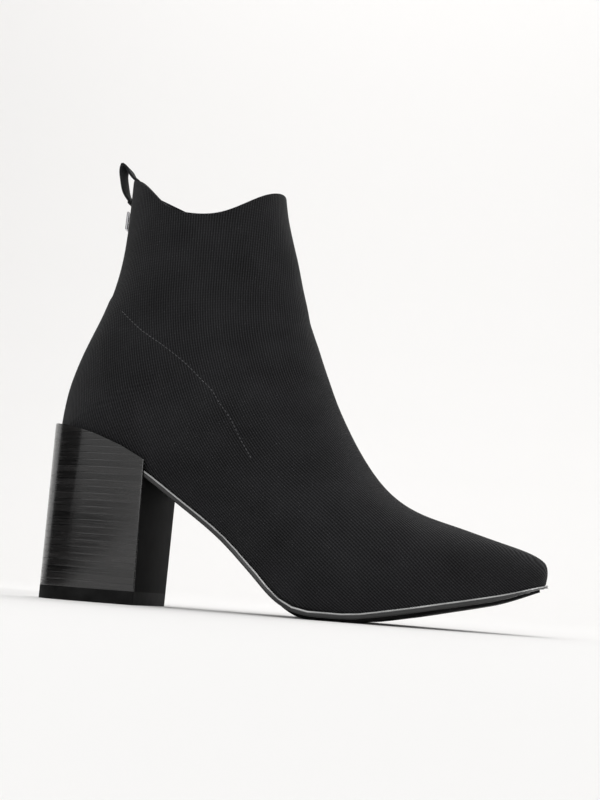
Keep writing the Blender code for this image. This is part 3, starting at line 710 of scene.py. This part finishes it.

# Painted shade: the breast's black is darker than the block's, as the breast lies in the boot's shadow.
breast_in_painted_shade, shader = finish("breast leather, darker as painted shade", "#0b0b0b", 0.7, Specular_IOR_Level=0.04)
where = add(breast_in_painted_shade, "TexCoord").outputs["Object"]
scuff = add(breast_in_painted_shade, "TexNoise", Vector=where, Scale=1 / SCUFF_SIZE, Detail=4.0)
share = add(breast_in_painted_shade, "MapRange", Value=scuff, From_Min=0.3, From_Max=0.7)
hide = add(breast_in_painted_shade, "Mix", data_type="RGBA", i0=share, i6=linear("#060606"), i7=linear("#0e0e0e")).outputs[2]
feed(breast_in_painted_shade, shader, Base_Color=hide, Normal=add(breast_in_painted_shade, "Bump", Distance=SCUFF_DEPTH, Height=scuff))
wear(heel_block, "stacked_leather", stacked, breast_in_painted_shade)
# Faces that look forwards take the darker breast finish, the painted shade.
for face in heel_block.data.polygons:
    face.material_index = int(face.normal.x > FACES_FORWARDS)

# %% [markdown]
# The lift is a thin layer of rubber, glued under the heel. The CAD keeps a thin gap there, as between all
# its solids. On the real boot glue fills it, and in the picture light would shine through, so we raise the
# lift's top face to the block.

# %% Lift under the heel
LOOKS_UP = 0.9

top_piece = merged_copy("heel_top_piece", "heel_lift")
start_editing(top_piece)
bpy.ops.mesh.dissolve_limited(angle_limit=math.radians(2))
glue_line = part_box("heel_block")[0][2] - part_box("heel_top_piece")[1][2]
pick(top_piece, "faces", lambda face: face.normal.z > LOOKS_UP)
bpy.ops.transform.translate(value=(0, 0, glue_line))
stop_editing()
print("glue line closed, mm:", round(glue_line / MM, 2))
smooth_below(top_piece, 35)
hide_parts("heel_top_piece")

# %% [markdown]
# The lift under the heel and the pad under the forefoot are moulded rubber: matt, a little speckled, with a
# fine pebble so that they grip. Rubber has no sheen and a broad, dull highlight.

# %% Rubber finish
PEBBLE_SIZE = 0.909 * MM
PEBBLE_DEPTH = 0.06 * MM
DUST_SIZE = 8.333 * MM

rubber, shader = finish("moulded rubber", "#161616", 0.65, Specular_IOR_Level=0.06)
where = add(rubber, "TexCoord").outputs["Object"]
pebble = add(rubber, "TexVoronoi", Vector=where, Scale=1 / PEBBLE_SIZE).outputs["Distance"]
dust = add(rubber, "TexNoise", Vector=where, Scale=1 / DUST_SIZE, Detail=4.0)
share = add(rubber, "MapRange", Value=dust, From_Min=0.35, From_Max=0.7)
mix = add(rubber, "Mix", data_type="RGBA", i0=share, i6=linear("#101010"), i7=linear("#1e1e1e")).outputs[2]
feed(rubber, shader, Base_Color=mix, Normal=add(rubber, "Bump", Distance=PEBBLE_DEPTH, Height=pebble))
wear(top_piece, "matt_rubber", rubber)

# %% [markdown]
# The sole is thin, with its edge trimmed, blacked and burnished with hot wax until it shines. The CAD sole
# is faceted, so a merged copy is made smooth: its sharp edges are creased first, so that a subdivision
# surface keeps them, and only the long curves are rounded. The rubber pad below gets the same.

# %% Smooth sole and pad
SHARP_EDGE = math.radians(30)


def smoothed_copy(node, name, crease):
    """A merged copy of a node, rounded by a subdivision surface that keeps its sharp edges."""
    piece = merged_copy(node, name)
    start_editing(piece)
    bpy.ops.mesh.tris_convert_to_quads(face_threshold=math.radians(40), shape_threshold=math.radians(60))
    bpy.ops.mesh.select_all(action="DESELECT")
    bpy.ops.mesh.select_mode(type="EDGE")
    bpy.ops.mesh.edges_select_sharp(sharpness=SHARP_EDGE)
    bpy.ops.transform.edge_crease(value=crease)
    stop_editing()
    finish_with(piece, "SUBSURF", levels=2, render_levels=2)
    smooth_below(piece, 40)
    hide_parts(node)
    print(name, "faces:", len(piece.data.polygons))
    return piece


sole = smoothed_copy("outsole", "burnished_sole", 0.6)
pad = smoothed_copy("forefoot_tread", "forefoot_pad", 0.8)

# %% [markdown]
# At the toe the maker pares the sole and its pad to a thin edge from below. The pad comes up as a whole.
# The sole comes up at its underside and keeps its top, so we ask how deep each vertex lies between the top
# and the underside, in slices of 2 mm along the boot. The pad's top face is then raised into the sole,
# which closes its glue line.

# %% Pare the toe and glue the pad
PAD_GLUE = 0.6 * MM
TOE_PARE = 26 * MM
TOE_LIFT = 1.6 * MM
SLICE = 2 * MM
LEAST_DEPTH = 1 * MM
MOSTLY_UP = 0.5

toe_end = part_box("outsole")[1][0]


def depth_below_top(places):
    """For each vertex, 0 on the top of its slice and 1 on the underside."""
    depth = np.ones(len(places))
    slices = np.floor((toe_end - places[:, 0]) / SLICE).astype(int)
    for number in np.unique(slices):
        inside = slices == number
        heights = places[inside, 2]
        depth[inside] = np.clip((heights.max() - heights) / max(np.ptp(heights), LEAST_DEPTH), 0, 1)
    return depth


for piece in (sole, pad):
    places = vertex_rows(piece, "co")
    lift = TOE_LIFT * eased((places[:, 0] - toe_end + TOE_PARE) / TOE_PARE)
    places[:, 2] += lift * (depth_below_top(places) if piece is sole else 1)
    move_vertices(piece, places)
    print(piece.name, "comes up by, mm:", round(lift.max() / MM, 2))
start_editing(pad)
pick(pad, "faces", lambda face: face.normal.z > MOSTLY_UP)
bpy.ops.transform.translate(value=(0, 0, PAD_GLUE))
stop_editing()
wear(pad, "matt_rubber", rubber)

# %% [markdown]
# Burnished leather is a hard, even black. Only the rubbing of the iron shows, as patches that shine a
# little more or less.

# %% Sole finish
RUB_SIZE = 4.545 * MM

burnished, shader = finish("burnished sole edge", "#101010", 0.3, Coat_Weight=0.4, Coat_Roughness=0.2,
                           Specular_IOR_Level=0.4)
where = add(burnished, "TexCoord").outputs["Object"]
rub = add(burnished, "TexNoise", Vector=where, Scale=1 / RUB_SIZE, Detail=3.0)
share = add(burnished, "MapRange", Value=rub, From_Min=0.3, From_Max=0.7)
hide = add(burnished, "Mix", data_type="RGBA", i0=share, i6=linear("#0a0a0a"), i7=linear("#181818"))
gloss = add(burnished, "MapRange", Value=rub, To_Min=0.26, To_Max=0.4)
feed(burnished, shader, Base_Color=hide.outputs[2], Roughness=gloss)
wear(sole, "polished_sole", burnished)

# %% [markdown]
# Where the sole's edge meets the knit, the edge iron leaves a rounded bead of wax. It is under a millimetre
# thick, yet it is what the eye follows along the whole boot, from the heel's breast to the toe. We take the
# outline of the sole's top face as a wire, turn the wire into a curve, and give the curve a round section.
# Under the heel the bead would be hidden, so the wire is cut off there.

# %% Bead of wax along the sole
BEAD_RADIUS = 0.45 * MM
BEHIND_BREAST = 9 * MM
TOP_LOOKS_UP = 0.4
EDGE_LOOKS_OUT = 0.35
TOE_LOOKS_FORWARDS = 0.3
FOREFOOT_START = upper_place(0.74, 0, 0)[0]


def top_of_sole(face):
    """True on the sole's top face; at the toe, the bevel faces forwards and is left out."""
    at_toe = face.calc_center_median().x > FOREFOOT_START
    turned_out = abs(face.normal.y) > EDGE_LOOKS_OUT or (at_toe and face.normal.x > TOE_LOOKS_FORWARDS)
    return face.normal.z > TOP_LOOKS_UP and not turned_out


outline = merged_copy("outsole", "sole_outline")
start_editing(outline)
pick(outline, "faces", top_of_sole)
bpy.ops.mesh.region_to_loop()
bpy.ops.mesh.duplicate()
bpy.ops.mesh.separate(type="SELECTED")
stop_editing()
bead = next(item for item in bpy.context.selected_objects if item is not outline)
bpy.data.objects.remove(outline)
bead.name = "waxed_bead"
start_editing(bead)
pick(bead, "verts", lambda vertex: vertex.co.x < heel_front - BEHIND_BREAST)
bpy.ops.mesh.delete(type="VERT")
stop_editing()
print("points on the wire:", len(bead.data.vertices), "edges:", len(bead.data.edges))
bpy.ops.object.convert(target="CURVE")
bead.data.bevel_depth = BEAD_RADIUS
bead.data.bevel_resolution = 2
bpy.ops.object.convert(target="MESH")
bpy.ops.object.shade_smooth()

# %% [markdown]
# The wax is hard and glossy. It is black on the boot, but what the eye sees is the pale studio mirrored in
# its round top as one bright line. That line would be thinner than a pixel, so the wax itself is painted
# pale, as a painted reflection, in lighter and darker patches.

# %% Wax finish, painted pale as a reflection
WAX_PATCH = 11.11 * MM

wax_painted_pale, shader = finish("wax bead painted pale as a reflection", "#8c8c8c", 0.22, Coat_Weight=1.0, Coat_Roughness=0.12,
                       Coat_IOR=1.8, Specular_IOR_Level=1.0)
where = add(wax_painted_pale, "TexCoord").outputs["Object"]
rub = add(wax_painted_pale, "TexNoise", Vector=where, Scale=1 / WAX_PATCH, Detail=2.0)
share = add(wax_painted_pale, "MapRange", Value=rub, From_Min=0.3, From_Max=0.7)
# Painted reflection: pale greys in patches stand in for the studio mirrored in the black wax.
painted_reflection = add(wax_painted_pale, "Mix", data_type="RGBA", i0=share, i6=linear("#7a7a7a"), i7=linear("#b8b8b8")).outputs[2]
gloss = add(wax_painted_pale, "MapRange", Value=rub, To_Min=0.16, To_Max=0.3)
feed(wax_painted_pale, shader, Base_Color=painted_reflection, Roughness=gloss)
wear(bead, "polished_sole", wax_painted_pale)

# %% [markdown]
# The footbed inside is thin goat leather over foam: matt, with a fine pebbled grain. The grain is drawn
# about 1.4 mm wide, a little coarser than it is, so that it shows. Its creases are drawn darker, as painted
# shade.

# %% Footbed finish
HIDE_GRAIN = 1.4286 * MM
HIDE_DEPTH = 0.1 * MM

footbed, shader = finish("grained sock leather", "#1b1b1b", 0.6)
where = add(footbed, "TexCoord").outputs["Object"]
grain = add(footbed, "TexVoronoi", feature="DISTANCE_TO_EDGE", Vector=where, Scale=1 / HIDE_GRAIN)
grain = grain.outputs["Distance"]
# Painted shade: near the edges of the grain's cells, where its creases lie, the leather is drawn darker.
share = add(footbed, "MapRange", Value=grain, From_Min=0.0, From_Max=0.35)
hide = add(footbed, "Mix", data_type="RGBA", i0=share, i6=linear("#101010"), i7=linear("#232323")).outputs[2]
feed(footbed, shader, Base_Color=hide, Normal=add(footbed, "Bump", Distance=HIDE_DEPTH, Height=grain))
wear(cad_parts["insole"], "footbed", footbed)

# %% [markdown]
# The pull loop is a narrow woven tape, folded in two. Its CAD solid already bends in a smooth curve, so the
# copy only has its triangles joined into quads and its long edges rounded a little.

# %% Pull loop
TAPE_ROUND = 0.3 * MM

loop = merged_copy("pull_loop", "pull_loop_tape")
start_editing(loop)
bpy.ops.mesh.tris_convert_to_quads(face_threshold=math.radians(40), shape_threshold=math.radians(40))
stop_editing()
finish_with(loop, "BEVEL", width=TAPE_ROUND, segments=2, limit_method="ANGLE", angle_limit=math.radians(60))
smooth_below(loop, 45)
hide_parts("pull_loop")

# %% [markdown]
# The tape is cotton in a herringbone weave: slanting threads that meet along its middle. We draw them as a
# wave over the height plus the distance from the middle, which turns at the middle line by itself. They lie
# 0.7 mm apart, a little coarser than real ones. The grooves between them are drawn darker, as painted shade.

# %% Tape finish
TAPE_THREAD = 0.7 * MM
WEAVE_DEPTH = 0.12 * MM

tape, shader = finish("woven cotton tape", "#141415", 0.82, Sheen_Weight=0.08, Specular_IOR_Level=0.15)
split = add(tape, "SeparateXYZ", Vector=add(tape, "TexCoord").outputs["Object"])
from_middle = add(tape, "Math", operation="ABSOLUTE", i0=split.outputs["Y"])
chevron = add(tape, "Math", operation="ADD", i0=from_middle, i1=split.outputs["Z"])
twill = add(tape, "Math", operation="MULTIPLY", i0=chevron, i1=2 * math.pi / TAPE_THREAD)
twill = add(tape, "Math", operation="SINE", i0=twill)
twill = add(tape, "Math", operation="MULTIPLY_ADD", i0=twill, i1=0.5, i2=0.5)
# Painted shade: the low part of the wave, the groove between threads, is drawn darker.
cotton = add(tape, "Mix", data_type="RGBA", i0=twill, i6=linear("#0a0a0a"), i7=linear("#232325")).outputs[2]
feed(tape, shader, Base_Color=cotton, Normal=add(tape, "Bump", Distance=WEAVE_DEPTH, Height=twill))
wear(loop, "woven_tape", tape)

# %% [markdown]
# The small plate on the back is stamped steel, polished and plated, and bare. Metal needs no coat: its
# shine is all reflection, broken only by faint hairlines along its height. It keeps the CAD node's own
# shape.

# %% Back plate
HAIR_WIDTH = 0.1667 * MM
HAIR_RUN = 2.5 * MM

plated_steel, shader = finish("polished plated steel", "#c9c9cc", 0.16, Metallic=1.0)
where = add(plated_steel, "TexCoord").outputs["Object"]
hair_map = add(plated_steel, "Mapping", Vector=where, Scale=(1 / HAIR_RUN, 1 / HAIR_WIDTH, 1 / HAIR_RUN))
hairlines = add(plated_steel, "TexNoise", Vector=hair_map, Scale=1.0)
gloss = add(plated_steel, "MapRange", Value=hairlines, To_Min=0.1, To_Max=0.26)
feed(plated_steel, shader, Roughness=gloss)
wear(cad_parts["back_plate"], "polished_steel", plated_steel)

# %% [markdown]
# The studio is a pale paper floor that sweeps up behind the boot with no corner, so that there is no
# horizon line. We bend a flat grid: past a line behind the boot, each row rises and is drawn forwards, more
# so the further it is.

# %% Studio floor
FLOOR_REACH = 5.0
SWEEP_START = 1.6
SWEEP_HEIGHT = 2.6
SWEEP_FORWARDS = 0.8

bpy.ops.object.select_all(action="DESELECT")
bpy.ops.mesh.primitive_grid_add(x_subdivisions=2, y_subdivisions=40, size=2 * FLOOR_REACH, location=(0, 0, 0))
floor = bpy.context.active_object
floor.name = "studio_floor"
places = vertex_rows(floor, "co")
past = np.maximum(0.0, places[:, 1] - SWEEP_START)
rise = np.minimum(past / (FLOOR_REACH - SWEEP_START), 1.0)
places[:, 2] = SWEEP_HEIGHT * rise * rise
places[:, 1] -= SWEEP_FORWARDS * past * rise
move_vertices(floor, places)
bpy.ops.object.shade_smooth()
paper, _ = finish("matt studio paper", "#f1f0ef", 0.9)
floor.data.materials.append(paper)
print("floor reaches up to, m:", round(float(places[:, 2].max()), 2))

# %% [markdown]
# The boot is black, so most of what the eye reads on it is the reflection of its surroundings. A bright
# world lights it from all sides, and a strip overhead adds light from above. A panel at the front left
# softens the inner side, and another lifts the backdrop to white. The strip at the right is seen in
# reflections only: it brightens the front of the heel's polished side and does hardly anything to the knit.

# %% Lights
BACKDROP_AIM = (0.0, 3.2, 0.9)


def panel_light(name, place, aim, width, height, brightness):
    """A rectangular light of a given brightness that points at a place; lengths in metres."""
    data = bpy.data.lights.new(name, "AREA")
    data.shape = "RECTANGLE"
    data.size, data.size_y = width, height
    data.energy = brightness * math.pi * width * height
    light = bpy.data.objects.new(name, data)
    bpy.context.scene.collection.objects.link(light)
    look = (Vector(aim) - Vector(place)).to_track_quat("-Z", "Y").to_matrix().to_4x4()
    light.matrix_world = Matrix.Translation(place) @ look
    return light


panel_light("overhead", place=(0.1, 0.0, 1.2), aim=camera_aim, width=1.2, height=0.2, brightness=4.0)
panel_light("front_left", place=(-0.7, -1.4, 0.8), aim=camera_aim, width=0.6, height=0.6, brightness=1.6)
strip = panel_light("right_strip", place=(1.3, -0.25, 0.4), aim=camera_aim, width=0.6, height=1.0,
                    brightness=3.0)
strip.visible_diffuse = False
panel_light("backdrop", place=(0.0, 1.4, 2.6), aim=BACKDROP_AIM, width=2.4, height=1.4, brightness=1.5)

# %% [markdown]
# The world is a plain, almost white studio. The Standard view shows its white as white, so the paper floor
# and the background match those of a product photograph.

# %% World and view
WORLD_STRENGTH = 0.97

world = bpy.data.worlds.new("studio")
world.use_nodes = True
world.node_tree.nodes["Background"].inputs["Color"].default_value = linear("#f4f4f4")
world.node_tree.nodes["Background"].inputs["Strength"].default_value = WORLD_STRENGTH
bpy.context.scene.world = world
bpy.context.scene.view_settings.view_transform = "Standard"
print("world strength:", WORLD_STRENGTH)

# %% [markdown]
# Polished black shows what it mirrors. The heel's rounded side has a dark band, which in a studio comes
# from a black card beside the object. Ours lies on the floor to the left of the heel and turns up at its
# far end. It does only that job: reflections see it, and nothing else does.

# %% Black card
CARD_LENGTH, CARD_DEPTH, CARD_HEIGHT = 1.0, 1.3, 0.9
CARD_NEAR = Vector((-0.06, -0.35, 0.0005))
AT_FAR_END = 0.99

bpy.ops.object.select_all(action="DESELECT")
bpy.ops.mesh.primitive_grid_add(x_subdivisions=2, y_subdivisions=2, size=1)
card = bpy.context.active_object
card.name = "black_card"
card.data.transform(Matrix.Translation(CARD_NEAR - Vector((CARD_LENGTH / 2, 0, 0)))
                    @ Matrix.Diagonal((CARD_LENGTH, CARD_DEPTH, 1, 1)))
far_end = CARD_NEAR.x - AT_FAR_END * CARD_LENGTH
start_editing(card)
pick(card, "edges", lambda edge: all(vertex.co.x < far_end for vertex in edge.verts))
bpy.ops.mesh.extrude_region_move(TRANSFORM_OT_translate={"value": (0, 0, CARD_HEIGHT)})
stop_editing()
card.visible_camera = False
card.visible_diffuse = False
card.visible_shadow = False
felt, _ = finish("black felt", "#050505", 1.0, Specular_IOR_Level=0.0)
card.data.materials.append(felt)
print("card faces:", len(card.data.polygons))
